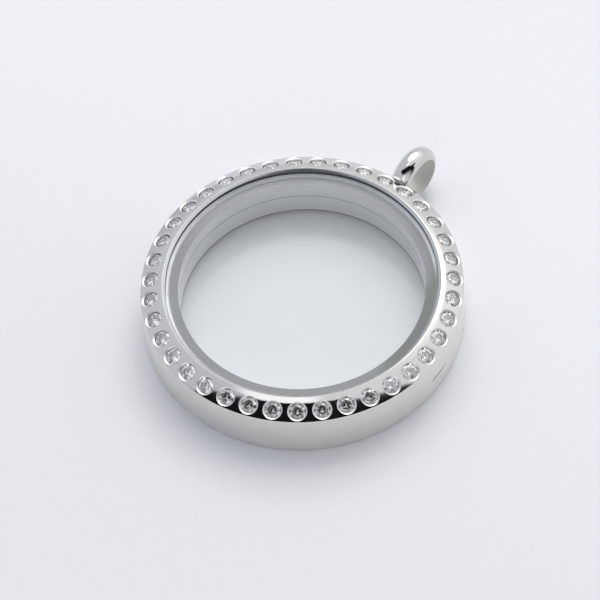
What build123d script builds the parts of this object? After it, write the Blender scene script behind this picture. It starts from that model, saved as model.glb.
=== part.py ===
from build123d import *
from math import atan2, cos, pi, radians, sin, sqrt, tan
import os

# Round hinged locket lying on its back, front up. Millimetres and degrees.
# The origin is the middle of the flat back, +Z points out of the front and +Y at the bail.
# The hinge is at -X (9 o'clock) and the opening notch near +X (3 o'clock).

# Frames
OUTER_R = 15.0            # outer wall
WALL_H = 4.7              # from the back to the outer edge of the stone face
CHAMBER_R = 11.5          # inner wall round the chamber
PARTING_Z = 2.15          # joint between the two frames on the outer wall
PARTING_GAP = 0.03        # gap between the two frames' flat faces
RIM_H = 0.85              # the back frame's inner rim above the outer joint
RIM_WALL = 1.5            # thickness of that rim
RIM_CLEAR = 0.1           # gap round the rim
SEAM_CHAMFER = 0.05       # edges of the joint on the chamber's wall
FOOT_R = 0.2              # rounding of the outer edge of the back

# Front face
FACE_H = 1.0              # rise of the whole front face
EDGE_WIDTH = 2.06         # width of the whole front face
STRIP_WIDTH = 0.51        # flatter strip between the stones and the lip
STRIP_SLOPE = 17.0        # its slope
FACE_DOME = 0.02          # how far the stones' part bulges
LIP_WIDTH = 0.28          # chamfer from the face down to the glass pocket
LIP_DROP = 0.16

# Glasses
GLASS_R = 12.6
GLASS_CLEAR = 0.05        # round the edge
GLASS_GAP = 0.02          # between a glass and its ledge
FRONT_GLASS_T = 0.5
BACK_GLASS_T = 0.65
LEDGE_Z = 4.7             # the front glass's ledge

# Stones and their seats
STONE_COUNT = 39
FACETS = 8                # main facets of a stone, above and below
STONE_TURN = 3.65         # first stone's angle past the bail
STONE_FROM_EDGE = 1.02    # seat's middle from the face's outer edge, along the face
STONE_R = 0.8
TABLE_R = 0.46
CROWN_SLOPE = 33.0
GIRDLE_T = 0.04
PAVILION_SLOPE = 41.0
CROWN_MEET = 0.5          # share of the way from the table's edge to the girdle where stars end
PAVILION_MEET = 0.28      # share of the girdle's radius where lower facets end
TABLE_DEPTH = 0.05        # table below the face
SEAT_CLEAR = 0.03         # between stone and seat
SEAT_FLARE = 0.1          # how much wider the seat is at the face

# Bail
BAIL_HOLE_R = 2.1
BAIL_T = 0.82             # band's greatest thickness
BAIL_EDGE_T = 0.1         # band's thickness at its two edges
BAIL_WIDTH = 2.0
BAIL_ROOT_T = 0.05        # metal left between the hole and the wall
BAIL_Z = 3.26             # height of the hole's axis
BAIL_CLEAR = 0.1          # gap between the bail and the back frame's wall

# Hinge
HINGE_AXIS_IN = 0.3       # the hinge axis inside the outer wall
HINGE_L = 6.0
HINGE_MIDDLE_L = 2.6      # the front frame's knuckle
HINGE_SIDE_GAP = 0.1      # between knuckles, and at the pocket's ends
KNUCKLE_R = 0.8
KNUCKLE_CLEAR = 0.1       # round a knuckle in the other frame's pocket
PIN_R = 0.35
PIN_FIT = 0.02            # round the pin in the back frame's knuckles
PIN_RUN = 0.04            # round the pin in the front frame's knuckle

# Notch and magnet
NOTCH_TURN = 4.0          # angle from +X
NOTCH_L = 2.8
NOTCH_H = 0.2
NOTCH_DEPTH = 0.3
MAGNET_R = 0.55
MAGNET_H = 0.8
MAGNET_CLEAR = 0.04


# Levels and radii worked out from the driving dimensions
joint_low = PARTING_Z - PARTING_GAP / 2
joint_high = PARTING_Z + PARTING_GAP / 2
rim_top = PARTING_Z + RIM_H - PARTING_GAP / 2
rim_ceiling = PARTING_Z + RIM_H + PARTING_GAP / 2
rim_r = CHAMBER_R + RIM_WALL
glass_pocket_r = GLASS_R + GLASS_CLEAR
back_ledge_z = BACK_GLASS_T + GLASS_GAP
face_top = WALL_H + FACE_H
lip_r = OUTER_R - EDGE_WIDTH
crease_r = lip_r + STRIP_WIDTH
crease_z = face_top - STRIP_WIDTH * tan(radians(STRIP_SLOPE))
hinge_r = OUTER_R - HINGE_AXIS_IN
hinge_axis = Plane(origin=(-hinge_r, 0, PARTING_Z), x_dir=(1, 0, 0), z_dir=(0, 1, 0))


def turned(outline):
    """A ring: a closed outline of edges in the XZ plane, turned once round Z."""
    return revolve(make_face(outline), Axis.Z, 360)


def path(*points):
    """Straight edges through points given as (radius, height)."""
    return Polyline(*[(r, 0, z) for r, z in points])


def back_ring():
    """Outer wall, foot rounding, glass rebate and the rim that stands up inside the front frame."""
    foot = ThreePointArc(
        (OUTER_R - FOOT_R, 0, 0),
        (OUTER_R - FOOT_R * (1 - sin(radians(45))), 0, FOOT_R * (1 - cos(radians(45)))),
        (OUTER_R, 0, FOOT_R))
    rest = path(
        (OUTER_R, FOOT_R), (OUTER_R, joint_low), (rim_r, joint_low), (rim_r, rim_top),
        (CHAMBER_R + SEAM_CHAMFER, rim_top), (CHAMBER_R, rim_top - SEAM_CHAMFER),
        (CHAMBER_R, back_ledge_z), (glass_pocket_r, back_ledge_z), (glass_pocket_r, 0), (OUTER_R - FOOT_R, 0))
    return turned([*foot.edges(), *rest.edges()])


def face_point(along):
    """Point and outward slope on the stones' part of the face, at a length from its outer edge."""
    run = OUTER_R - crease_r
    rise = crease_z - WALL_H
    length = sqrt(run ** 2 + rise ** 2)
    slope = atan2(rise, run)
    share = along / length
    bulge = 4 * FACE_DOME * share * (1 - share)
    r = OUTER_R - along * cos(slope) + bulge * sin(slope)
    z = WALL_H + along * sin(slope) + bulge * cos(slope)
    return r, z, slope, length


def front_ring():
    """Outer wall, domed stone face, flatter strip, lip, glass pocket, ledge and the room for the rim."""
    length = face_point(0)[3]
    r, z, _, _ = face_point(length / 2)
    dome = ThreePointArc((OUTER_R, 0, WALL_H), (r, 0, z), (crease_r, 0, crease_z))
    rest = path(
        (crease_r, crease_z), (lip_r, face_top), (lip_r - LIP_WIDTH, face_top - LIP_DROP),
        (glass_pocket_r, face_top - LIP_DROP), (glass_pocket_r, LEDGE_Z), (CHAMBER_R, LEDGE_Z),
        (CHAMBER_R, rim_ceiling + SEAM_CHAMFER), (CHAMBER_R + SEAM_CHAMFER, rim_ceiling),
        (rim_r + RIM_CLEAR, rim_ceiling), (rim_r + RIM_CLEAR, joint_high), (OUTER_R, joint_high),
        (OUTER_R, WALL_H))
    return turned([*dome.edges(), *rest.edges()])


def glass(thickness, bottom):
    """Plain round disc."""
    return Pos(0, 0, bottom) * Cylinder(GLASS_R, thickness, align=(Align.CENTER, Align.CENTER, Align.MIN))


def bar(radius, start, end):
    """Round bar on the hinge's axis between two places along it."""
    return hinge_axis * Pos(0, 0, start) * Cylinder(
        radius, end - start, align=(Align.CENTER, Align.CENTER, Align.MIN))


def knuckle_spans():
    """Start and end along the axis of the side, middle and side knuckles."""
    half = HINGE_MIDDLE_L / 2
    side = half + HINGE_SIDE_GAP
    return (-HINGE_L / 2, -side), (-half, half), (side, HINGE_L / 2)


def knuckles(spans):
    return [bar(KNUCKLE_R, start, end) for start, end in spans]


def pockets(spans):
    """Room in the other frame for the knuckles at these spans."""
    return [bar(KNUCKLE_R + KNUCKLE_CLEAR, start - HINGE_SIDE_GAP, end + HINGE_SIDE_GAP) for start, end in spans]


def notch():
    """Room cut by a flat disc cutter that comes at the wall from outside, at the joint."""
    half = NOTCH_L / 2
    cutter_r = 1 / (2 * (NOTCH_DEPTH / half ** 2 - 1 / (2 * OUTER_R)))
    middle = OUTER_R - NOTCH_DEPTH + cutter_r
    return Rot(0, 0, NOTCH_TURN) * Pos(middle, 0, PARTING_Z) * Cylinder(cutter_r, NOTCH_H)


def magnet(clear=0.0):
    """Round magnet whose top is flush with the back frame's joint face, between the rim and the notch."""
    middle = (rim_r + OUTER_R - NOTCH_DEPTH) / 2
    depth = MAGNET_H + clear
    return Rot(0, 0, NOTCH_TURN) * Pos(middle, 0, joint_low - depth) * Cylinder(
        MAGNET_R + clear, depth, align=(Align.CENTER, Align.CENTER, Align.MIN))


def bail():
    """D-section band bent into a ring, its hole along X, trimmed to the wall that it is soldered on."""
    middle_y = OUTER_R + BAIL_ROOT_T + BAIL_HOLE_R
    half = BAIL_WIDTH / 2
    outer = BAIL_HOLE_R + BAIL_EDGE_T
    centre = Plane(origin=(0, middle_y, BAIL_Z))
    flats = Polyline((-half, outer), (-half, BAIL_HOLE_R), (half, BAIL_HOLE_R), (half, outer))
    crown = ThreePointArc((half, outer), (0, BAIL_HOLE_R + BAIL_T), (-half, outer))
    section = make_face([*flats.edges(), *crown.edges()])
    band = centre * revolve(section, Axis.X, 360)
    low = (Align.CENTER, Align.CENTER, Align.MIN)
    above_face = Pos(0, 0, WALL_H) * Cylinder(OUTER_R, BAIL_HOLE_R + BAIL_T, align=low)
    back_wall = Cylinder(OUTER_R + BAIL_CLEAR, joint_high, align=low)
    return band - above_face - back_wall


def seat_places():
    """Planes on the face, one for each stone, their normals out of the face."""
    r, z, slope, _ = face_point(STONE_FROM_EDGE)
    for count in range(STONE_COUNT):
        turn = radians(90 + STONE_TURN - count * 360 / STONE_COUNT)
        out = (cos(turn), sin(turn))
        yield Plane(
            origin=(r * out[0], r * out[1], z),
            x_dir=(-out[1], out[0], 0),
            z_dir=(sin(slope) * out[0], sin(slope) * out[1], cos(slope)))


crown_h = (STONE_R - TABLE_R) * tan(radians(CROWN_SLOPE))
girdle_top = -TABLE_DEPTH - crown_h
girdle_low = girdle_top - GIRDLE_T
culet = girdle_low - STONE_R * tan(radians(PAVILION_SLOPE))


def seat():
    """Flared hole for the crown, straight part for the girdle, cone for the pavilion."""
    wide = STONE_R + SEAT_CLEAR
    flare_r = wide + SEAT_FLARE
    bottom = girdle_low - SEAT_CLEAR
    outline = Polyline(
        (0, 0, crown_h), (flare_r, 0, crown_h), (flare_r, 0, 0), (wide, 0, girdle_top), (wide, 0, bottom),
        (0, 0, bottom - wide * tan(radians(PAVILION_SLOPE))), close=True)
    return turned(outline.edges())


def on_circle(radius, share, z):
    """Point at a share of one main facet's turn."""
    turn = 2 * pi * share / FACETS
    return (radius * cos(turn), radius * sin(turn), z)


def stone():
    """Round brilliant: table, stars, kites, girdle facets and pavilion mains, all meeting in points."""
    half_turn = cos(radians(180 / FACETS))
    star_r = TABLE_R * half_turn + CROWN_MEET * (STONE_R - TABLE_R * half_turn)
    star_z = girdle_top + (STONE_R - star_r * half_turn) * tan(radians(CROWN_SLOPE))
    low_r = PAVILION_MEET * STONE_R
    low_z = girdle_low - (STONE_R - low_r * half_turn) * tan(radians(PAVILION_SLOPE))
    table = [on_circle(TABLE_R, k, -TABLE_DEPTH) for k in range(FACETS)]
    star = [on_circle(star_r, k + 0.5, star_z) for k in range(FACETS)]
    upper = [on_circle(STONE_R, k / 2, girdle_top) for k in range(2 * FACETS)]
    lower = [on_circle(STONE_R, k / 2, girdle_low) for k in range(2 * FACETS)]
    deep = [on_circle(low_r, k + 0.5, low_z) for k in range(FACETS)]
    tip = (0, 0, culet)
    facets = [table]
    for k in range(FACETS):
        after = (k + 1) % FACETS
        side, middle, end = 2 * k, 2 * k + 1, 2 * after
        facets += [
            [table[k], star[k], table[after]],
            [table[k], star[k - 1], upper[side], star[k]],
            [star[k], upper[side], upper[middle]],
            [star[k], upper[middle], upper[end]],
            [upper[side], lower[side], lower[middle], upper[middle]],
            [upper[middle], lower[middle], lower[end], upper[end]],
            [lower[side], deep[k], lower[middle]],
            [lower[middle], deep[k], lower[end]],
            [lower[side], deep[k - 1], tip, deep[k]]]
    return Solid(Shell([Face(Wire.make_polygon(points)) for points in facets]))


def back_frame():
    """The back half, with the two side knuckles."""
    first, middle, last = knuckle_spans()
    frame = back_ring() - pockets([middle]) + knuckles([first, last])
    return frame - bar(PIN_R + PIN_FIT, -HINGE_L, HINGE_L) - notch() - magnet(MAGNET_CLEAR)


def front_frame():
    """The front half, with the middle knuckle, the bail and a seat for each stone."""
    first, middle, last = knuckle_spans()
    frame = front_ring() - pockets([first, last]) + knuckles([middle]) + bail()
    tool = seat()
    seats = [place * tool for place in seat_places()]
    return frame - bar(PIN_R + PIN_RUN, -HINGE_L, HINGE_L) - notch() - seats


def write(name, shape):
    shape.label = name
    export_step(shape, f"parts/{name}.step")


os.makedirs("parts", exist_ok=True)
write("back_frame", back_frame())
write("back_glass", glass(BACK_GLASS_T, 0))
write("hinge_pin", bar(PIN_R, -HINGE_L / 2, HINGE_L / 2))
write("closure_magnet", magnet())
write("front_frame", front_frame())
write("front_glass", glass(FRONT_GLASS_T, LEDGE_Z + GLASS_GAP))
cut_stone = stone()
for number, place in enumerate(seat_places(), 1):
    write(f"stone_{number:02d}", place * cut_stone)
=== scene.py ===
from math import cos, pi, radians, sin, sqrt, tan

import bmesh
import bpy
import numpy as np
from mathutils import Matrix


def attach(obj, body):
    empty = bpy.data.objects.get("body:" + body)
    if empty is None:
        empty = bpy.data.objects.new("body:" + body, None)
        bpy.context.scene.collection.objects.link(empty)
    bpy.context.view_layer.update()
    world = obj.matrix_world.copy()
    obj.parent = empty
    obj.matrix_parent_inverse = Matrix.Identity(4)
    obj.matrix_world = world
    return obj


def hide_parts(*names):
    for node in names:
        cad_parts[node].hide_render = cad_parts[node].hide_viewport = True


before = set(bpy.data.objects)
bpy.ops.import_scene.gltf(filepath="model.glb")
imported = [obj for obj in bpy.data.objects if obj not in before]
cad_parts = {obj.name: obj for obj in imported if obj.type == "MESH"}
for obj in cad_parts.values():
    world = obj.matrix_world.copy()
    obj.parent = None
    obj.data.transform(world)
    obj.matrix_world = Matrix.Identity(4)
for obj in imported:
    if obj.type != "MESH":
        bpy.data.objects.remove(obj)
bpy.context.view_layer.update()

# Sizes in millimetres and degrees, the same as the frame's.
MM = 0.001
OUTER_R = 15.0
WALL_H = 4.7
CHAMBER_R = 11.5
PARTING_Z = 2.15
PARTING_GAP = 0.03
RIM_H = 0.85
RIM_WALL = 1.5
RIM_CLEAR = 0.1
SEAM_CHAMFER = 0.03
FOOT_R = 0.2
FACE_H = 1.0
EDGE_WIDTH = 2.06
STRIP_WIDTH = 0.51
STRIP_SLOPE = radians(17)
FACE_DOME = 0.02
LIP_WIDTH = 0.28
LIP_DROP = 0.16
GLASS_R = 12.6
GLASS_CLEAR = 0.05
GLASS_GAP = 0.02
FRONT_GLASS_T = 0.5
BACK_GLASS_T = 0.65
LEDGE_Z = 4.7
STONE_COUNT = 39
STONE_TURN = 3.65
STONE_FROM_EDGE = 1.02
STONE_R = 0.8
TABLE_R = 0.46
TABLE_DEPTH = 0.05
CROWN_SLOPE = radians(33)
GIRDLE_T = 0.04
PAVILION_SLOPE = radians(41)
SEAT_CLEAR = 0.03
SEAT_FLARE = 0.1
BAIL_HOLE_R = 2.1
BAIL_T = 0.82
BAIL_EDGE_T = 0.1
BAIL_WIDTH = 2.0
BAIL_ROOT_T = 0.05
BAIL_Z = 3.26
BAIL_CLEAR = 0.1
HINGE_AXIS_IN = 0.3
HINGE_L = 6.0
HINGE_MIDDLE_L = 2.6
HINGE_SIDE_GAP = 0.1
KNUCKLE_R = 0.8
KNUCKLE_CLEAR = 0.1
PIN_R = 0.35
PIN_FIT = 0.02
PIN_RUN = 0.04
NOTCH_TURN = radians(4)
NOTCH_L = 2.8
NOTCH_H = 0.2
NOTCH_DEPTH = 0.3
MAGNET_R = 0.55
MAGNET_H = 0.8
MAGNET_CLEAR = 0.04

# Small roundings that the finishing leaves on the edges
EDGE_ROUND = 0.035
CREST_ROUND = 0.02
FINE_ROUND = 0.03
SEAT_LIP_R = 0.765        # the lip of metal that holds each stone's edge
SEAT_LIP_DEPTH = 0.12
SEAT_LIP_T = 0.05
JOINT_ROUND = 0.008
DARK_BAND_H = 0.2            # height of the dark band at the foot of the chamber wall, round the edge of the back glass
GLASS_EDGE = 0.012        # chamfer of the panes
PANE_SPREAD = 0.03        # how much nearer the front pane comes to its pocket's wall
JOINT_LINE = 0.012        # the hairline that shows between the two halves
KNUCKLE_INSET = 0.01      # what each end of a knuckle is short of its length
BAIL_SUNK = 0.03          # how far the bail's root goes into the wall
BESIDE = 0.03             # row of points next to a rounding, so that the flat beside it stays flat
BAIL_BESIDE = 0.02        # the same inside the bail

# How finely the pieces are divided
AROUND = 22               # columns of the rings for each stone
SIDE = 12                 # rows on each side of a seat
OUTWARD = 6               # from a seat's rim outwards
INWARD = 4                # rows of the strip
ARC = 10                  # segments of a hinge pocket
ARC_STEP = radians(14)    # the most that a rounding turns from one point to the next
KNUCKLE_SIDES = 64
PIN_SIDES = 40
MAGNET_SIDES = 48
PANE_SIDES = 288
BAIL_CROWN = 29           # points over the bail's arched outside
BAIL_AROUND = 96          # steps round the bail
WELD = 2e-7               # metres
SHARP = radians(32)       # faces that meet at more than this meet in a sharp edge
MAGNET_WINDOW = radians(3.3)  # half of the stretch of joint face that is drawn round the magnet's hole
HINGE_SIDE = radians(30)  # columns nearer than this to the hinge's side may be moved
HINGE_SPREAD = 7.0        # up to this far along Y, to fit the knuckles
PULL_END = 6.5            # nearer than this along Y the columns are pulled off their angle to their place
PULL_RUN = 1.5            # along Y, over this run
HINGE_BESIDE = 1.0        # how far past the knuckles the wall's edge keeps to the pocket's height
POCKET_BESIDE = 0.2       # how far past them the pocket's inner line runs straight
NOTCH_BESIDE = 1.1        # share of the notch's half length within which its cutter is looked for
FLAT_R = 14.0             # a radius on the joint face
WALL_ROWS = 3.8, 3.2      # heights of rows on the front wall
BACK_ROW = 1.1            # height of a row on the back wall

# Numbers of the front ring's finishes. The back ring has four, with the dark band as its third.
POLISHED, TURNED, LEDGE, WALL, LIP, SHADED_POCKET, WORN = range(7)
DARK_BAND = 2

# Painted light and shade on the ledge, and the steel's finest marks
SHADE_TURN = radians(13)   # middle of the stretch of ledge that is painted darker, as painted shade
LIT_TURN = radians(131)  # middle of the stretch of ledge that is painted lighter, as painted light
SHADE_FROM = 0.86          # share of the chamber's radius at which the painted shade begins
LIT_FROM = 0.3          # and the painted light
GLUE_AND_LIGHT = 0.35, 0.05         # where the light line under the glass's rim starts and is full, inwards from the glass's edge: partly clear glue, partly painted light over the shade in that corner
SCRATCH = 0.00002         # metres, the height of the finest marks

# The studio
CAMERA_SIDE = radians(48.65)   # from the part's X axis clockwise to the side that the camera stands on
SHADE_SIDE = CAMERA_SIDE + radians(30)   # the side towards which the sheet is painted darker, as painted shade
SHADE_REACH = 0.035         # metres, half of the run over which it does
LEFT_LIGHT = 0.76
RIGHT_LIGHT = 1.0
LEFT_TO_RIGHT = -0.45, 0.35    # where the walls' light changes, as a share of a direction's length
HORIZON_LIGHT = 0.86      # share of the walls' light that is left at their foot
HORIZON_H = 0.5           # height from which they have all of it
WHITE, COOL = (1.0, 1.0, 1.0), (0.84, 0.89, 1.0)
COOL_LEFT = -0.8, 0.6     # the walls are cooler on the left
COOL_FRONT = -0.3, 0.6    # and over the near side
ROOM_LIGHT = 0.012        # share of the light that is left in the unlit room
ROOM_EDGE = 0.22, 0.24    # the room begins this far over the near side
ROOM_FOOT = 0.6, 0.72     # and above this height
ROOM_NEARER = 0.12        # it comes this much nearer below
ROOM_TOP = 0.76, 0.92     # this height
ROOM_AWAY = 0.09          # and is this much further away on the right
ROOM_RIGHT = 0.0, 0.3
# Each lamp's turn from the camera's side towards the right, its angle from overhead, the angles from its
# middle to where its light ends and to where it is full, all in degrees, its light and its colour
LAMPS = (
    (170, 35, 27, 15, 3.3, (1.0, 0.965, 0.925)),     # over the far side
    (-90, 8, 12, 6, 0.62, (1.0, 0.985, 0.99)),       # overhead
    (-130, 60, 41, 18, 0.08, (0.93, 0.97, 1.0)),     # left wall
    (132, 44, 28, 10, 0.22, (0.97, 0.985, 1.0)),     # right wall
    (5, 82, 45, 15, 0.85, (0.93, 0.96, 1.0)),        # low over the near side
)
DARK_SHAPE = (26, 64, 31, 26)   # an unlit disc of the same kind, low over the near side
GLARE_CARD = (180, 35, 12, 7)   # the card that keeps the far lamp's glare off the glass
CARD_STOPS = 0.8          # share of the light that the card stops

joint_low = PARTING_Z - JOINT_LINE / 2
joint_high = PARTING_Z + JOINT_LINE / 2
rim_top = PARTING_Z + RIM_H - PARTING_GAP / 2
rim_ceiling = PARTING_Z + RIM_H + PARTING_GAP / 2
rim_r = CHAMBER_R + RIM_WALL
glass_pocket_r = GLASS_R + GLASS_CLEAR
back_ledge_z = BACK_GLASS_T + GLASS_GAP
gap_low = LEDGE_Z + GLASS_GAP + FRONT_GLASS_T - GLASS_EDGE
face_top = WALL_H + FACE_H
lip_r = OUTER_R - EDGE_WIDTH
crease_r = lip_r + STRIP_WIDTH
crease_z = face_top - STRIP_WIDTH * tan(STRIP_SLOPE)
hinge_r = OUTER_R - HINGE_AXIS_IN
face_run = OUTER_R - crease_r
face_rise = crease_z - WALL_H
face_length = sqrt(face_run ** 2 + face_rise ** 2)
face_slope = np.arctan2(face_rise, face_run)
dome_radius = face_length ** 2 / (8 * FACE_DOME) + FACE_DOME / 2
dome_r = (OUTER_R + crease_r) / 2 - (dome_radius - FACE_DOME) * sin(face_slope)
dome_z = (WALL_H + crease_z) / 2 - (dome_radius - FACE_DOME) * cos(face_slope)
half_sector = pi / STONE_COUNT
first_turn = radians(90 + STONE_TURN)
column_turn = first_turn - half_sector + 2 * half_sector / AROUND * np.arange(STONE_COUNT * AROUND)


class Shell:
    """Grids of points in millimetres that together close one piece. Each grid's rows and columns run so that
    the way along the rows' numbers, crossed with the way along the columns', points outwards."""

    def __init__(self):
        self.points, self.quads, self.finishes, self.count = [], [], [], 0

    def patch(self, points, loop=False, finish=POLISHED, without=None):
        """Adds grids of points (..., rows, columns, 3). loop joins the last column to the first, and finish
        is the number of the material, one for the patch or one for each row of quads. without is a window of
        rows and columns that stays open."""
        rows, columns = points.shape[-3:-1]
        number = self.count + np.arange(points[..., 0].size).reshape(points.shape[:-1])
        after = np.roll(number, -1, -1)
        quads = np.stack([number[..., :-1, :], number[..., 1:, :], after[..., 1:, :], after[..., :-1, :]], -1)
        if not loop:
            quads = quads[..., :-1, :]
        kind = np.reshape(finish, (-1, 1)) + np.zeros(quads.shape[:-1], int)
        if without:
            low, high, first, last = without
            kind[low:high, first:last] = -1
        self.finishes.append(kind[kind >= 0])
        self.points.append(points.reshape(-1, 3))
        self.quads.append(quads[kind >= 0])
        self.count += number.size

    def piece(self, name, finishes, body, slot, *nodes):
        """Welds the patches into one closed mesh that rides on a body in place of its nodes."""
        mesh = bpy.data.meshes.new(name)
        mesh.from_pydata((np.concatenate(self.points) * MM).tolist(), [], np.concatenate(self.quads).tolist())
        mesh.polygons.foreach_set("material_index", np.concatenate(self.finishes).astype(np.int32))
        work = bmesh.new()
        work.from_mesh(mesh)
        bmesh.ops.remove_doubles(work, verts=work.verts, dist=WELD)
        bmesh.ops.dissolve_degenerate(work, edges=work.edges, dist=WELD)
        work.to_mesh(mesh)
        work.free()
        mesh.shade_smooth()
        mesh.set_sharp_from_angle(angle=SHARP)
        for finish in finishes:
            mesh.materials.append(finish)
        made = bpy.data.objects.new(name, mesh)
        bpy.context.scene.collection.objects.link(made)
        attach(made, body)
        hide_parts(*nodes)


def rounded(corners, beside=BESIDE):
    """A path through corners (a, b, radius), each turned into an arc tangent to both its sides, with a point
    a little beside each end of the arc. Where a radius is 0 the corner stays."""
    out = []
    for before, here, after in zip([corners[0]] + corners[:-1], corners, corners[1:] + [corners[-1]]):
        at, radius = np.array(here[:2], float), here[2]
        if not radius:
            out.append(at)
            continue
        a, b = np.array(before[:2]) - at, np.array(after[:2]) - at
        room = min(np.hypot(*a), np.hypot(*b))
        a, b = a / np.hypot(*a), b / np.hypot(*b)
        half = np.arccos(np.clip(a @ b, -1, 1)) / 2
        back = radius / tan(half)
        middle = at + (a + b) / np.hypot(*(a + b)) * radius / sin(half)
        ends = np.arctan2(*(at + a * back - middle)[::-1]), np.arctan2(*(at + b * back - middle)[::-1])
        sweep = (ends[1] - ends[0] + pi) % (2 * pi) - pi
        turn = ends[0] + sweep * np.linspace(0, 1, max(3, int(abs(sweep) / ARC_STEP) + 1))
        arc = middle + radius * np.stack([np.cos(turn), np.sin(turn)], -1)
        side = int(back + beside < room / 2)
        out += [at + a * (back + beside)] * side + list(arc) + [at + b * (back + beside)] * side
    return np.array(out)


def about_z(r, turn, z):
    """Points at a radius, an angle and a height: x = radius cos turn, y = radius sin turn."""
    return np.stack([r * np.cos(turn), r * np.sin(turn), z + 0 * turn], -1)


def turned(profile, sides):
    """A profile of (radius, height) carried round Z, in sides columns."""
    r, z = np.asarray(profile, float).T[..., None]
    return about_z(r, np.linspace(0, 2 * pi, sides, endpoint=False), z)


def about_hinge(profile, sides):
    """A profile of (radius, place along Y) carried round the hinge's axis."""
    x, z, y = np.moveaxis(turned(profile, sides), -1, 0)
    return np.stack([x - hinge_r, y, z + PARTING_Z], -1)


def face_height(r):
    """Height of the front face at a radius: an arc over the stones' part, a straight strip to the lip."""
    arc = dome_z + np.sqrt(dome_radius ** 2 - (r - dome_r) ** 2)
    return np.where(r > crease_r, arc, crease_z + (crease_r - r) * tan(STRIP_SLOPE))


# The seats
crown_h = (STONE_R - TABLE_R) * tan(CROWN_SLOPE)
girdle_top = -TABLE_DEPTH - crown_h
seat_r = STONE_R + SEAT_CLEAR
seat_low = girdle_top - GIRDLE_T - SEAT_CLEAR
share = STONE_FROM_EDGE / face_length
bulge = 4 * FACE_DOME * share * (1 - share)
seat_at_r = OUTER_R - STONE_FROM_EDGE * cos(face_slope) + bulge * sin(face_slope)
seat_at_z = WALL_H + STONE_FROM_EDGE * sin(face_slope) + bulge * cos(face_slope)

# Where the face ends in the rounding of its outer edge and of its crest
edge_slope = np.arcsin((OUTER_R - EDGE_ROUND * 0.5 - dome_r) / dome_radius)
edge_r = OUTER_R - EDGE_ROUND * (1 - sin(edge_slope))
edge_z = float(face_height(edge_r))
crest_turn = STRIP_SLOPE + np.arctan2(LIP_DROP, LIP_WIDTH)
crest_r = lip_r + CREST_ROUND * tan(crest_turn / 2) * cos(STRIP_SLOPE)
crest_z = float(face_height(crest_r))


def in_seat(radius, depth, turn):
    """Points of a stone's seat in the sector whose middle is on X: radius and turn about the seat's own axis,
    depth along it out of the face."""
    across, up = radius * np.cos(turn), radius * np.sin(turn)
    x = seat_at_r - up * cos(face_slope) + depth * sin(face_slope)
    z = seat_at_z + up * sin(face_slope) + depth * cos(face_slope)
    return np.stack([x, across, z], -1)


def seat_rim(turn):
    """Radius and angle about Z where the flared seat meets the face, found by halving the depth."""
    above_face, halvings = 0.2, 50
    low, high = np.full(turn.shape, girdle_top), np.full(turn.shape, above_face)
    for _ in range(halvings):
        depth = (low + high) / 2
        x, y, z = np.moveaxis(in_seat(flare(depth), depth, turn), -1, 0)
        above = z > face_height(np.hypot(x, y))
        low, high = np.where(above, low, depth), np.where(above, depth, high)
    return np.stack([np.hypot(x, y), np.arctan2(y, x)], -1)


def flare(depth):
    """Radius of the seat's lip, a cone that widens to the face."""
    return SEAT_LIP_R + (seat_r + SEAT_FLARE - SEAT_LIP_R) * np.clip(1 + depth / SEAT_LIP_DEPTH, 0, 1)


def all_sectors(points):
    """The same points once for each stone, turned round Z."""
    turn = (first_turn + 2 * half_sector * np.arange(STONE_COUNT)).reshape(-1, *[1] * (points.ndim - 1))
    x, y, z = np.moveaxis(points, -1, 0)
    cosine, sine = np.cos(turn), np.sin(turn)
    return np.stack([x * cosine - y * sine, x * sine + y * cosine, z + 0 * turn], -1)


def on_face(flat):
    """(radius, angle) on the face as points."""
    r, turn = np.moveaxis(flat, -1, 0)
    return about_z(r, turn, face_height(r))


def between(start, end, steps):
    """Rows of points in steps from one curve to another."""
    share = np.linspace(0, 1, steps + 1).reshape(-1, *[1] * start.ndim)
    return start + (end - start) * share


def stone_face(shell):
    """The face round the stones, with their seats. Each sector is two grids in radius and angle: one from the
    seat's rim out to the sector's edges, down to the crease that the rim crosses, and one over the strip."""
    tries, margin = 4001, 0.1
    fine = np.linspace(margin, pi / 2 - margin, tries)
    crossing = np.interp(-crease_r, -seat_rim(fine)[:, 0], fine)
    inner = AROUND - 2 * OUTWARD
    crease, edge, crest = [
        [np.array([r, side * half_sector]) for side in (-1, 1)] for r in (crease_r, edge_r, crest_r)]
    path = np.concatenate([between(crease[0], edge[0], SIDE)[:-1], between(*edge, AROUND),
                           between(edge[1], crease[1], SIDE)[1:]])
    seen = np.unwrap(np.arctan2((seat_at_r - path[:, 0]) / cos(face_slope), seat_at_r * path[:, 1]))
    seen = (seen - seen[0]) / (seen[-1] - seen[0])
    outer_turn = pi - crossing + seen * (pi + 2 * crossing)
    inner_turn = np.linspace(pi - crossing, crossing, inner + 1)
    outer_rim, inner_rim = seat_rim(outer_turn), seat_rim(inner_turn)
    for rim in (outer_rim, inner_rim):
        rim[[0, -1], 0] = crease_r
    wide = between(outer_rim, path, OUTWARD)
    shell.patch(all_sectors(on_face(wide)))
    top = np.concatenate([wide[::-1, 0], inner_rim[1:-1], wide[:, -1]])
    low = between(*crest, AROUND)
    shell.patch(all_sectors(on_face(between(low, top, INWARD))))
    turn = np.concatenate([outer_turn[:-1], inner_turn[::-1][:-1] + 2 * pi])
    rim = on_face(np.concatenate([outer_rim[:-1], inner_rim[::-1][:-1]]))
    fall = seat_r * tan(PAVILION_SLOPE)
    rows = [(SEAT_LIP_R, -SEAT_LIP_DEPTH), (SEAT_LIP_R, -SEAT_LIP_DEPTH - SEAT_LIP_T),
            (seat_r, girdle_top + SEAT_CLEAR), (seat_r, seat_low), (seat_r / 2, seat_low - fall / 2),
            (0, seat_low - fall)]
    walls = [rim] + [in_seat(radius, depth, turn) for radius, depth in rows]
    shell.patch(all_sectors(np.stack(walls[::-1])), loop=True, finish=TURNED)


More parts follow.
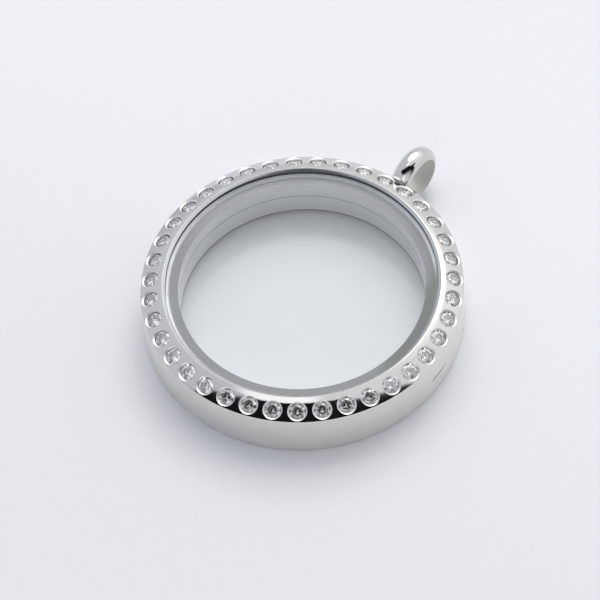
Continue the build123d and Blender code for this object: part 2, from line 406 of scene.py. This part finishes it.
def notch_floor(turn):
    """Radius of the wall at an angle: the near side of a disc cutter in the notch, elsewhere the wall."""
    half = NOTCH_L / 2
    cutter_r = 1 / (2 * (NOTCH_DEPTH / half ** 2 - 1 / (2 * OUTER_R)))
    middle = OUTER_R - NOTCH_DEPTH + cutter_r
    away = np.abs((turn - NOTCH_TURN + pi) % (2 * pi) - pi)
    inside = np.sqrt(np.maximum(cutter_r ** 2 - (middle * np.sin(away)) ** 2, 0))
    cut = np.minimum(OUTER_R, middle * np.cos(away) - inside)
    return np.where(away < half * NOTCH_BESIDE / OUTER_R, cut, OUTER_R)


def hinge_columns(spans):
    """Columns of a ring: their angles, the place along Y to which those near the hinge are drawn, which stand
    in a pocket, and how far each is pulled to its place along Y. The two columns at a pocket's end stand in
    one place, so that the quads between them are its end wall."""
    away = (pi - column_turn + pi) % (2 * pi) - pi
    order = np.argsort(-away)
    away = away[order]
    along = OUTER_R * np.sin(away)
    near = np.abs(away) < HINGE_SIDE
    wanted = np.unique(np.array(spans).ravel())[::-1]
    found = np.array([np.flatnonzero(near)[np.argmin(np.abs(along[near] - y))] for y in wanted])
    now = np.r_[HINGE_SPREAD, along[found], -HINGE_SPREAD]
    then = np.r_[HINGE_SPREAD, wanted, -HINGE_SPREAD]
    drawn = np.where(near & (np.abs(along) < HINGE_SPREAD), np.interp(-along, -now, then), along)
    index = np.sort(np.r_[np.arange(away.size), found])
    twice = np.r_[False, index[1:] == index[:-1]]
    apart = 1e-3
    middle = drawn[index] + np.where(twice, -apart, 0) + np.where(np.r_[twice[1:], False], apart, 0)
    pocket = np.zeros(index.size, bool)
    for start, end in spans:
        pocket |= (middle > start) & (middle < end) & near[index]
    pull = np.clip((PULL_END - np.abs(along[index])) / PULL_RUN, 0, 1) * near[index]
    return pi - away[index], drawn[index], pocket, pull


def pulled(r, turn, along, pull):
    """Angles of the columns at a radius, pulled from their own towards that of their place along Y."""
    straight = pi - np.arcsin(np.clip(along / r, -1, 1))
    return turn + pull * (straight - turn)


def ring_points(profile, turn, along, pull, drawn):
    """Profile points (radius, height) at each column. Those that are drawn keep to the column's place along
    Y, the others to its angle."""
    r, z = profile.T[..., None]
    return about_z(r, pulled(r, turn, along, np.where(drawn[:, None], pull, 0)), z)


def pocket_line(turn, along, pull, z):
    """The row of the joint face along which the hinge's pockets end."""
    r = np.hypot(hinge_r - KNUCKLE_R - KNUCKLE_CLEAR, np.clip(np.abs(along), 0, HINGE_L / 2 + POCKET_BESIDE))
    return about_z(r, pulled(r, turn, along, pull), z)[None]


def joint_edge(turn, along, pocket, pull, joint, side):
    """The wall's edge at the joint, from the wall to the joint face: the notch's step, then a small rounding,
    or the pocket's arc about the hinge's axis. side is 1 for the front frame and -1 for the back."""
    floor = notch_floor(turn)
    reach = KNUCKLE_R + KNUCKLE_CLEAR
    at = pulled(OUTER_R, turn, along, pull)
    wall_x = OUTER_R * np.cos(at) + hinge_r
    pocket_h = np.sqrt(np.maximum(reach ** 2 - wall_x ** 2, 0))
    at_hinge = (np.abs(along) < HINGE_L / 2 + HINGE_BESIDE) & (turn > pi / 2)
    step_z = np.where(at_hinge, PARTING_Z + side * pocket_h, PARTING_Z + side * NOTCH_H / 2)
    step = np.stack([about_z(r, at, step_z) for r in (OUTER_R, np.where(pocket, OUTER_R, floor))])
    small = np.linspace(0, pi / 2, ARC + 1)[:, None]
    plain = about_z(floor - JOINT_ROUND * (1 - np.cos(small)), at,
                    joint + side * JOINT_ROUND * (1 - np.sin(small)))
    first, last = np.arccos(np.clip(wall_x / reach, -1, 1)), np.arcsin(PARTING_GAP / 2 / reach)
    sweep = first + (last - first) * np.linspace(0, 1, ARC + 1)[:, None]
    x = reach * np.cos(sweep) - hinge_r
    deep = np.stack([x, along + 0 * sweep, PARTING_Z + side * reach * np.sin(sweep)], -1)
    return np.concatenate([step, np.where(pocket[:, None], deep, plain)])


def hinge_spans():
    """Start and end along Y of the side, middle and side knuckles."""
    half = HINGE_MIDDLE_L / 2
    side = half + HINGE_SIDE_GAP
    return (-HINGE_L / 2, -side), (-half, half), (side, HINGE_L / 2)


def pocket_spans(*spans):
    """Start and end along Y of the pockets that leave room for the other half's knuckles."""
    return [(start - HINGE_SIDE_GAP, end + HINGE_SIDE_GAP) for start, end in spans]


def knuckle(shell, start, end, bore):
    """A short tube on the hinge's axis with its edges rounded."""
    start, end = start + KNUCKLE_INSET, end - KNUCKLE_INSET
    profile = rounded([(bore, start, 0), (KNUCKLE_R, start, FINE_ROUND * 2),
                       (KNUCKLE_R, end, FINE_ROUND * 2), (bore, end, 0)])
    shell.patch(about_hinge(np.concatenate([profile, profile[:1]]), KNUCKLE_SIDES), loop=True)


def front_frame(*finishes):
    """The front half: stone face with its seats, wall, joint, room for the rim, chamber wall, ledge, pocket,
    lip, the middle knuckle and the bail."""
    shell = Shell()
    stone_face(shell)
    first, middle, last = hinge_spans()
    turn, along, pocket, pull = hinge_columns(pocket_spans(first, last))
    sweep = np.linspace(pi / 2 - edge_slope, 0, 6)
    wall_top = np.stack([OUTER_R - EDGE_ROUND * (1 - np.cos(sweep)),
                         edge_z + EDGE_ROUND * (np.sin(sweep) - np.sin(sweep[0]))], -1)
    upper = np.concatenate([wall_top, [(OUTER_R, z) for z in (wall_top[-1, 1] - BESIDE, *WALL_ROWS)]])
    inside_r = rim_r + RIM_CLEAR
    inner = rounded([
        (FLAT_R, joint_high, 0), (inside_r, joint_high, FINE_ROUND), (inside_r, rim_ceiling, FINE_ROUND),
        (CHAMBER_R + SEAM_CHAMFER, rim_ceiling, 0), (CHAMBER_R, rim_ceiling + SEAM_CHAMFER, 0),
        (CHAMBER_R, rim_ceiling + SEAM_CHAMFER + BESIDE, 0), (CHAMBER_R, LEDGE_Z, FINE_ROUND),
        (glass_pocket_r, LEDGE_Z, FINE_ROUND), (glass_pocket_r, gap_low, 0),
        (glass_pocket_r, face_top - LIP_DROP, FINE_ROUND), (lip_r, face_top, CREST_ROUND),
        (crest_r, crest_z, 0)])
    edge = joint_edge(turn, along, pocket, pull, joint_high, 1)
    wall_drawn = np.arange(len(upper)) == len(upper) - 1
    inner_drawn = np.arange(len(inner) - 1) < 1
    ring = np.concatenate([
        ring_points(upper, turn, along, pull, wall_drawn), edge, pocket_line(turn, along, pull, joint_high),
        ring_points(inner[1:], turn, along, pull, inner_drawn)])
    outside = np.full(len(upper) + len(edge), WALL)
    outside[:len(wall_top) - 1] = POLISHED
    r, z = ((inner[1:] + inner[:-1]) / 2).T
    # Above the glass the pocket's wall takes the dark steel as painted shade.
    kind = np.select(
        [z > face_top - CREST_ROUND, z > face_top - LIP_DROP, z > gap_low, z > LEDGE_Z + BESIDE,
         (z > LEDGE_Z - BESIDE) & (r > CHAMBER_R)],
        [POLISHED, LIP, SHADED_POCKET, TURNED, LEDGE], TURNED)
    shell.patch(ring, loop=True, finish=np.concatenate([outside, kind]))
    knuckle(shell, *middle, PIN_R + PIN_RUN)
    bail(shell)
    shell.piece("front_ring", finishes, "front", "steel", "front_frame")


def bail(shell):
    """A band with a flat inside and an arched outside carried round the hole's axis, and cut off by the
    ring's wall: each point of the band's section runs from where it leaves the wall round to where it comes
    back."""
    half = BAIL_WIDTH / 2
    rise = BAIL_T - BAIL_EDGE_T
    arch_r = (half ** 2 + rise ** 2) / (2 * rise)
    arch = np.linspace(np.arcsin(half / arch_r), -np.arcsin(half / arch_r), BAIL_CROWN)
    crown = np.stack([arch_r * np.sin(arch), BAIL_HOLE_R + BAIL_T - arch_r * (1 - np.cos(arch))], -1)
    inside = rounded([(-half, BAIL_HOLE_R + BAIL_EDGE_T, 0), (-half, BAIL_HOLE_R, FINE_ROUND),
                      (half, BAIL_HOLE_R, FINE_ROUND), (half, BAIL_HOLE_R + BAIL_EDGE_T, 0)], BAIL_BESIDE)
    section = np.concatenate([inside[:-1], crown[:-1]])
    across, radius = section.T
    middle_y = OUTER_R + BAIL_ROOT_T + BAIL_HOLE_R

    def meet(wall_r, up):
        """Height at which the band's circle comes to a wall's radius."""
        y = np.sqrt(wall_r ** 2 - across ** 2)
        y = np.maximum(y, middle_y - radius)
        return y, BAIL_Z + up * np.sqrt(np.maximum(radius ** 2 - (middle_y - y) ** 2, 0))

    high_y, high_z = meet(OUTER_R - BAIL_SUNK, 1)
    over = high_z > WALL_H - 2 * BAIL_SUNK
    high_y, high_z = [np.where(over, a, b) for a, b in zip(meet(OUTER_R, 1), (high_y, high_z))]
    low_y, low_z = meet(OUTER_R - BAIL_SUNK, -1)
    under = low_z < joint_high
    low_y, low_z = [np.where(under, a, b) for a, b in zip(meet(OUTER_R + BAIL_CLEAR, -1), (low_y, low_z))]
    start = np.arctan2(low_z - BAIL_Z, low_y - middle_y)
    end = np.arctan2(high_z - BAIL_Z, high_y - middle_y)
    start = np.where(start > 0, -pi, start)
    end = np.where(end <= 0, pi, end)
    turn = between(start, end, BAIL_AROUND)
    free = np.stack([across + 0 * turn, middle_y + radius * np.cos(turn), BAIL_Z + radius * np.sin(turn)], -1)
    wall_nodes = [(OUTER_R, WALL_H), (OUTER_R - BAIL_SUNK, WALL_H - 2 * BAIL_SUNK),
                  (OUTER_R - BAIL_SUNK, joint_high), (OUTER_R + BAIL_CLEAR, joint_high)]
    rest = []
    for wall_r, node_z in wall_nodes:
        z = np.clip(node_z, low_z, high_z)
        on_wall = np.sqrt(wall_r ** 2 - across ** 2)
        y = np.where(node_z > high_z, high_y, np.where(node_z < low_z, low_y, on_wall))
        rest.append(np.stack([across, np.maximum(y, middle_y - radius), z], -1))
    points = np.concatenate([free, np.stack(rest)]).swapaxes(0, 1)
    kind = np.where(np.arange(len(points)) < len(inside) - 1, WORN, POLISHED)
    shell.patch(np.concatenate([points, points[:1]]), loop=True, finish=kind)


def magnet_hole(shell, ring, low, high, first, last):
    """The joint face round the magnet, from the edge of the window left in the ring to the hole's circle, and
    the hole's wall and floor."""
    edge = np.concatenate([ring[low, first:last], ring[low:high, last], ring[high, last:first:-1],
                           ring[high:low:-1, first]])
    middle = magnet_middle()
    away = edge - middle
    turn = np.arctan2(away[:, 1], away[:, 0])
    circle = about_z(1, turn, 0)
    hole_r, hole_h = MAGNET_R + MAGNET_CLEAR, MAGNET_H + MAGNET_CLEAR
    depth = np.array([0, 0, hole_h, hole_h]).reshape(-1, 1, 1)
    radius = np.array([hole_r + FINE_ROUND, hole_r, hole_r, 0]).reshape(-1, 1, 1)
    rows = middle + circle * radius - depth * np.array([0, 0, 1.0])
    shell.patch(np.concatenate([edge[None], rows]), loop=True, finish=TURNED)


def magnet_middle():
    """The middle of the magnet's top, between the rim and the notch."""
    r = (rim_r + OUTER_R - NOTCH_DEPTH) / 2
    return np.array([r * cos(NOTCH_TURN), r * sin(NOTCH_TURN), joint_low])


def back_frame(*finishes):
    """The back half: foot, glass rebate, ledge, rim, joint with the magnet's hole, wall and side knuckles."""
    shell = Shell()
    first, middle, last = hinge_spans()
    turn, along, pocket, pull = hinge_columns(pocket_spans(middle))
    lower = rounded([
        (FLAT_R, joint_low, 0), (rim_r, joint_low, FINE_ROUND), (rim_r, rim_top, FINE_ROUND * 2),
        (CHAMBER_R + SEAM_CHAMFER, rim_top, 0),
        (CHAMBER_R, rim_top - SEAM_CHAMFER, 0), (CHAMBER_R, rim_top - SEAM_CHAMFER - BESIDE, 0),
        (CHAMBER_R, back_ledge_z + DARK_BAND_H, 0), (CHAMBER_R, back_ledge_z, FINE_ROUND),
        (glass_pocket_r, back_ledge_z, FINE_ROUND),
        (glass_pocket_r, 0, FINE_ROUND), (OUTER_R, 0, FOOT_R), (OUTER_R, BACK_ROW, 0)])[1:]
    edge = joint_edge(turn, along, pocket, pull, joint_low, -1)[::-1]
    lower_drawn = np.arange(len(lower)) < 2
    lower_drawn[-1] = True
    body = ring_points(lower, turn, along, pull, lower_drawn)
    r, z = ((lower[1:] + lower[:-1]) / 2).T
    # The dark band: the foot of the chamber wall and the rebate round the back glass, and the chamfer of the
    # rim's top, take the dark steel.
    dark_band = (r < glass_pocket_r + BESIDE) & (z < back_ledge_z + DARK_BAND_H)
    dark_band |= (r < CHAMBER_R + SEAM_CHAMFER) & (z > rim_top - SEAM_CHAMFER)
    kind = np.where(dark_band, DARK_BAND, np.where(r < rim_r + BESIDE, TURNED, WALL))
    kind = np.concatenate([[WALL], kind[::-1], [TURNED, TURNED], np.full(len(edge) - 1, WALL)])
    ring = np.concatenate([edge[-1:], body[::-1], pocket_line(turn, along, pull, joint_low), edge])
    beside = np.flatnonzero(np.abs(turn - NOTCH_TURN) < MAGNET_WINDOW)
    window = len(body), len(body) + 2, beside[0], beside[-1]
    shell.patch(ring, loop=True, finish=kind, without=window)
    magnet_hole(shell, ring, *window)
    for start, end in (first, last):
        knuckle(shell, start, end, PIN_R + PIN_FIT)
    shell.piece("back_ring", finishes, "back", "steel", "back_frame")


def pane(name, finish, body, node, radius, low, high):
    """A round pane with small chamfers, closed at its poles."""
    shell = Shell()
    rim = radius - GLASS_EDGE
    profile = [(0, high), (radius / 2, high), (rim, high), (radius, high - GLASS_EDGE),
               (radius, low + GLASS_EDGE), (rim, low), (radius / 2, low), (0, low)]
    shell.patch(turned(profile, PANE_SIDES), loop=True)
    shell.piece(name, [finish], body, "glass", node)


def hinge_pin(finish):
    """A plain pin with rounded ends."""
    shell = Shell()
    half = HINGE_L / 2
    profile = rounded([(0, -half, 0), (PIN_R, -half, FINE_ROUND * 2), (PIN_R, half, FINE_ROUND * 2),
                       (0, half, 0)])
    shell.patch(about_hinge(profile, PIN_SIDES), loop=True)
    shell.piece("pin", [finish], "back", "steel", "hinge_pin")


def magnet(finish):
    """A round magnet with rounded edges, its top flush with the joint face."""
    shell = Shell()
    profile = rounded([(0, -JOINT_ROUND, 0), (MAGNET_R, -JOINT_ROUND, FINE_ROUND * 2),
                       (MAGNET_R, -MAGNET_H, FINE_ROUND * 2), (0, -MAGNET_H, 0)])
    shell.patch(turned(profile, MAGNET_SIDES) + magnet_middle(), loop=True)
    shell.piece("magnet", [finish], "back", "magnet", "closure_magnet")


class Value:
    """A number in a shader: maths on it adds the Math nodes."""

    def __init__(self, tree, socket):
        self.tree, self.socket = tree, socket

    def maths(self, operation, *terms):
        made = self.tree.nodes.new("ShaderNodeMath")
        made.operation = operation
        for socket, term in zip(made.inputs, terms):
            if isinstance(term, Value):
                self.tree.links.new(term.socket, socket)
            else:
                socket.default_value = term
        return Value(self.tree, made.outputs[0])

    def __add__(self, other):
        return self.maths("ADD", self, other)

    def __sub__(self, other):
        return self.maths("SUBTRACT", self, other)

    def __rsub__(self, other):
        return self.maths("SUBTRACT", other, self)

    def __mul__(self, other):
        return self.maths("MULTIPLY", self, other)

    def __pow__(self, other):
        return self.maths("POWER", self, other)

    __radd__, __rmul__ = __add__, __mul__

    def step(self, low, high):
        """0 below low, 1 above high, smooth between."""
        made = self.tree.nodes.new("ShaderNodeMapRange")
        made.interpolation_type = "SMOOTHSTEP"
        self.tree.links.new(self.socket, made.inputs["Value"])
        made.inputs["From Min"].default_value, made.inputs["From Max"].default_value = low, high
        return Value(self.tree, made.outputs["Result"])


class Finish:
    """A material, or the studio's surroundings, built node by node."""

    def __init__(self, owner):
        owner.use_nodes = True
        self.owner, self.tree = owner, owner.node_tree
        self.tree.nodes.clear()

    def node(self, kind, settings=None, **sockets):
        """One node: its settings first, then the values or links of its sockets, named with _ for a space, or
        numbered, as n0."""
        made = self.tree.nodes.new("ShaderNode" + kind)
        for name, value in (settings or {}).items():
            setattr(made, name, value)
        for name, value in sockets.items():
            numbered = name[0] == "n" and name[1:].isdigit()
            socket = made.inputs[int(name[1:]) if numbered else name.replace("_", " ")]
            if isinstance(value, Value):
                self.tree.links.new(value.socket, socket)
            elif isinstance(value, bpy.types.NodeSocket):
                self.tree.links.new(value, socket)
            else:
                socket.default_value = value
        return made

    def noise(self, place, scale, detail=3.0, roughness=0.55):
        """Noise from 0 to 1 with features of about 1 / scale metres."""
        made = self.node("TexNoise", Vector=place, Scale=scale, Detail=detail, Roughness=roughness)
        return Value(self.tree, made.outputs["Fac"])

    def stretched(self, place, x, y, z):
        """The place with each coordinate multiplied."""
        return self.node("VectorMath", {"operation": "MULTIPLY"}, n0=place, n1=(x, y, z)).outputs[0]

    def parts(self, place):
        """The coordinates of a place, as numbers."""
        return [Value(self.tree, part) for part in self.node("SeparateXYZ", Vector=place).outputs]

    def bump(self, strength, height, distance=SCRATCH):
        """The normal of a surface with small heights on it."""
        return self.node("Bump", Strength=strength, Distance=distance, Height=height).outputs[0]

    def mix(self, share, low, high):
        """A colour between two."""
        ends = [(*colour, 1) if isinstance(colour, tuple) else colour for colour in (low, high)]
        return self.node("Mix", {"data_type": "RGBA"}, n0=share, n6=ends[0], n7=ends[1]).outputs[2]


def material(name):
    """A new material, and the place on the piece that its patterns are made from."""
    made = Finish(bpy.data.materials.new(name))
    place = made.node("TexCoord").outputs["Object"]
    return made, place


def shade(finish, **sockets):
    """Principled shader to the output."""
    surface = finish.node("BsdfPrincipled", **sockets)
    finish.node("OutputMaterial", Surface=surface.outputs[0])
    return finish.owner


def polished_steel():
    """Mirror polish that handling has hazed a little, with hairlines round the walls."""
    made, place = material("polished_steel")
    haze = made.noise(place, 260, 4)
    smudge = made.noise(place, 90, 2).step(0.45, 0.7)
    hairs = made.noise(made.stretched(place, 300, 300, 24000), 1, 5)
    height = made.noise(place, 900, 2) * 0.6 + hairs * 0.4
    return shade(
        made, Base_Color=made.mix(haze, (0.65, 0.634, 0.61), (0.7, 0.684, 0.66)), Metallic=1.0,
        Roughness=0.025 + haze * 0.03 + smudge * 0.03 + hairs * 0.03, Normal=made.bump(0.035, height))


def satin_steel(name, low, high, roughness, metallic=1.0, painted_shade=0.0, glue_and_light=None, painted_light=None):
    """A duller surface of the steel, with fine lathe lines round the axis. dulled is how strongly painted
    shade darkens it on one side. bead is the colour of a light line under the glass's rim, partly clear glue
    and partly painted light over the shade in that corner. clean is the colour of painted light on another
    side."""
    made, place = material(name)
    haze = made.noise(place, 400, 4)
    lines = made.noise(made.stretched(place, 300, 300, 16000), 1, 5)
    x, y, _ = made.parts(place)

    def towards(turn, begin):
        """From 0 to 1 towards one side, from a share of the chamber's radius to the whole."""
        return (x * cos(turn) + y * sin(turn)).step(CHAMBER_R * MM * begin, CHAMBER_R * MM)

    colour = made.mix(haze, low, high)
    # painted light: the ledge is painted lighter towards one side
    if painted_light:
        colour = made.mix(towards(LIT_TURN, LIT_FROM), colour, painted_light)
    # partly clear glue, partly painted light: a light ring just inside the glass's rim lifts the shade in
    # that corner
    if glue_and_light:
        radius = (x * x + y * y) ** 0.5
        colour = made.mix(radius.step(*[(GLASS_R - inwards) * MM for inwards in GLUE_AND_LIGHT]), colour, glue_and_light)
    # painted shade: the ledge is painted darker on one side
    if painted_shade:
        colour = made.mix(towards(SHADE_TURN, SHADE_FROM) * painted_shade, colour, (0.08, 0.078, 0.072))
    return shade(
        made, Base_Color=colour, Metallic=metallic, Roughness=roughness + haze * 0.08 + lines * 0.05,
        Normal=made.bump(0.03, lines))


def dark_band_and_shade_steel():
    """Dark mottled steel: on the back ring the dark band round the back glass and the seam's chamfer, and on
    the front ring painted shade on the pocket's wall above the glass.
    """
    made, place = material("dark_band_and_shade")
    dark_mottle = made.noise(place, 700, 4)
    return shade(
        made, Base_Color=made.mix(dark_mottle, (0.045, 0.047, 0.05), (0.09, 0.092, 0.095)), Metallic=0.3,
        Roughness=0.5 + dark_mottle * 0.2)


def dark_steel():
    """The hinge pin, a duller drawn wire."""
    made, place = material("drawn_steel")
    lines = made.noise(made.stretched(place, 9000, 200, 9000), 1, 4)
    return shade(
        made, Base_Color=made.mix(lines, (0.42, 0.415, 0.405), (0.56, 0.55, 0.54)), Metallic=1.0,
        Roughness=0.22 + lines * 0.15, Normal=made.bump(0.1, lines))


def nickel_plate():
    """The magnet's bright plating, with fine grain."""
    made, place = material("nickel_plate")
    grain = made.noise(place, 5000, 3)
    return shade(
        made, Base_Color=made.mix(grain, (0.50, 0.48, 0.44), (0.62, 0.60, 0.55)), Metallic=1.0,
        Roughness=0.18 + grain * 0.12, Normal=made.bump(0.15, grain))


def clear_glass():
    """Flat mineral glass with faint wiping marks. The lamps' light goes straight through it, less what the
    gloss of its faces sends back, and lights what lies under it."""
    made, place = material("clear_glass")
    wipe = made.noise(made.stretched(place, 120, 420, 120), 1, 4)
    surface = made.node(
        "BsdfPrincipled", Base_Color=made.mix(wipe, (0.97, 0.985, 0.99), (0.98, 0.99, 0.995)),
        Roughness=wipe.step(0.5, 0.8) * 0.01, IOR=1.5, Transmission_Weight=1.0)
    through = made.node("BsdfTransparent", Color=(0.955, 0.96, 0.96, 1))
    path = made.node("LightPath").outputs
    for kind in ("Is Diffuse Ray", "Is Shadow Ray"):
        surface = made.node("MixShader", n0=path[kind], n1=surface.outputs[0], n2=through.outputs[0])
    made.node("OutputMaterial", Surface=surface.outputs[0])
    return made.owner


def cut_crystal():
    """Clear cut stone, very slightly milky, with a bright coating and silver foil under its girdle. The depth
    below the face is worked out from the radius and the height, because every stone leans outwards by the
    face's slope."""
    made, place = material("cut_crystal")
    x, y, height = made.parts(place)
    radius = (x * x + y * y) ** 0.5
    depth = (radius - seat_at_r * MM) * sin(face_slope) + (height - seat_at_z * MM) * cos(face_slope)
    foil_from, blur = girdle_top - GIRDLE_T * 0.7, 0.01
    foil = 1 - depth.step((foil_from - blur) * MM, (foil_from + blur) * MM)
    inside = made.noise(place, 1500, 2)
    return shade(
        made, Base_Color=made.mix(inside, (0.97, 0.962, 0.945), (1.0, 0.995, 0.985)), Metallic=foil,
        Roughness=inside * 0.01, IOR=1.9, Transmission_Weight=0.97, Coat_Weight=1.0, Coat_IOR=2.6)


def paper():
    """White sheet, very slightly cool, with faint fibres, and painted shade that darkens it towards one side.
    """
    made, place = material("white_sheet")
    fibre = made.noise(place, 1200, 4)
    x, y, _ = made.parts(place)
    # painted shade: the sheet is painted darker towards one side
    bright = 1 - (x * cos(SHADE_SIDE) - y * sin(SHADE_SIDE)).step(-SHADE_REACH, SHADE_REACH)
    return shade(
        made, Base_Color=made.mix(fibre * 0.3 + bright * 0.7, (0.76, 0.77, 0.79), (0.875, 0.885, 0.905)),
        Roughness=0.9, Normal=made.bump(0.05, fibre, 0.00005))


def surroundings():
    """Soft studio light: cool walls that are dimmer on the left and at their foot, lamps, and the unlit room
    high over the near side. Each lamp is a disc of directions."""
    world = bpy.data.worlds.new("studio")
    bpy.context.scene.world = world
    made = Finish(world)
    direction = made.node("TexCoord").outputs["Generated"]
    x, y, z = made.parts(direction)
    front = x * cos(CAMERA_SIDE) - y * sin(CAMERA_SIDE)
    right = x * sin(CAMERA_SIDE) + y * cos(CAMERA_SIDE)

    def disc_of(turn, zenith, edge, full):
        """1 within full degrees of a direction, 0 beyond edge degrees."""
        turn, zenith = radians(turn) - CAMERA_SIDE, radians(zenith)
        near = x * (sin(zenith) * cos(turn)) + y * (sin(zenith) * sin(turn)) + z * cos(zenith)
        return near.step(cos(radians(edge)), cos(radians(full)))

    walls = right.step(*LEFT_TO_RIGHT) * (RIGHT_LIGHT - LEFT_LIGHT) + LEFT_LIGHT
    walls = walls * (z.step(0, HORIZON_H) * (1 - HORIZON_LIGHT) + HORIZON_LIGHT)
    edge = front + (1 - z.step(*ROOM_TOP)) * ROOM_NEARER - right.step(*ROOM_RIGHT) * ROOM_AWAY
    room = edge.step(*ROOM_EDGE) * z.step(*ROOM_FOOT)
    unlit = 1 - (1 - room) * (1 - disc_of(*DARK_SHAPE))
    cool = (1 - right.step(*COOL_LEFT)) * 0.5 + front.step(*COOL_FRONT) * 0.15 + 0.3
    light = made.node("Background", Color=made.mix(cool, WHITE, COOL),
                      Strength=walls * (1 - unlit * (1 - ROOM_LIGHT)))
    card = 1 - disc_of(*GLARE_CARD) * CARD_STOPS
    for *place, strength, colour in LAMPS:
        lamp = made.node("Background", Color=(*colour, 1), Strength=disc_of(*place) * card * strength)
        light = made.node("AddShader", n0=light.outputs[0], n1=lamp.outputs[0])
    made.node("OutputWorld", Surface=light.outputs[0])


def camera():
    """A long lens from above the near side, turned as the photograph's, with the picture's width as 600."""
    data = bpy.data.cameras.new("camera")
    data.lens, data.sensor_width = 240.0, 36.0
    data.clip_start, data.clip_end = 0.01, 10
    data.dof.use_dof = False
    seat_turn, elevation = radians(41.35), radians(54.997)
    pan, tilt, roll = radians(0.044), radians(0.189), radians(-4.555)
    distance = 370.54
    back = np.array([0, -cos(elevation), sin(elevation)])
    right = np.array([1.0, 0, 0])
    up = np.cross(back, right)
    look = np.array([right, -up, -back])

    def about(axis, turn):
        return np.array(Matrix.Rotation(turn, 3, axis))

    look = about("Z", roll) @ about("X", tilt) @ about("Y", pan) @ look
    spin = about("Z", seat_turn)
    eye = spin @ (back * distance) + np.array([0, 0, WALL_H])
    axes = spin @ np.stack([look[0], -look[1], -look[2]], -1)
    matrix = np.eye(4)
    matrix[:3, :3], matrix[:3, 3] = axes, eye * MM
    made = bpy.data.objects.new("camera", data)
    made.matrix_world = Matrix(matrix.tolist())
    bpy.context.scene.collection.objects.link(made)
    bpy.context.scene.camera = made


def floor():
    """A wide flat sheet just under the part."""
    half, low = 3.0, -0.00002
    corners = [(x * half, y * half, low) for x, y in ((-1, -1), (1, -1), (1, 1), (-1, 1))]
    mesh = bpy.data.meshes.new("sheet")
    mesh.from_pydata(corners, [], [(0, 1, 2, 3)])
    mesh.materials.append(paper())
    made = bpy.data.objects.new("sheet", mesh)
    bpy.context.scene.collection.objects.link(made)


steel = polished_steel()
glass = clear_glass()
satin = satin_steel("turned_steel", (0.73, 0.73, 0.73), (0.81, 0.81, 0.81), 0.36)
# The ledge carries painted shade on one side, painted light on another, and a light line under the glass's
# rim that is partly painted light.
ledge = satin_steel("ledge_steel", (0.175, 0.181, 0.187), (0.21, 0.216, 0.222), 0.5, metallic=0.3,
                    painted_shade=0.85, glue_and_light=(0.9, 0.91, 0.92), painted_light=(0.3, 0.307, 0.315))
wall = satin_steel("wall_steel", (0.82, 0.797, 0.765), (0.86, 0.837, 0.8), 0.28)
lip = satin_steel("lip_steel", (0.56, 0.562, 0.565), (0.62, 0.622, 0.625), 0.13)
dark_mottle = dark_band_and_shade_steel()
worn = satin_steel("bail_inside", (0.57, 0.56, 0.535), (0.65, 0.64, 0.615), 0.45, metallic=0.3)
front_frame(steel, satin, ledge, wall, lip, dark_mottle, worn)
back_frame(steel, satin, dark_mottle, wall)
hinge_pin(dark_steel())
magnet(nickel_plate())
pane("front_pane", glass, "front", "front_glass", GLASS_R + PANE_SPREAD, LEDGE_Z + GLASS_GAP,
     LEDGE_Z + GLASS_GAP + FRONT_GLASS_T)
pane("back_pane", glass, "back", "back_glass", GLASS_R, 0, BACK_GLASS_T)
crystal = cut_crystal()
for name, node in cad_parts.items():
    if name.startswith("stone"):
        node.data.materials.clear()
        node.data.materials.append(crystal)
floor()
surroundings()
camera()
bpy.context.scene.view_settings.view_transform = "Standard"
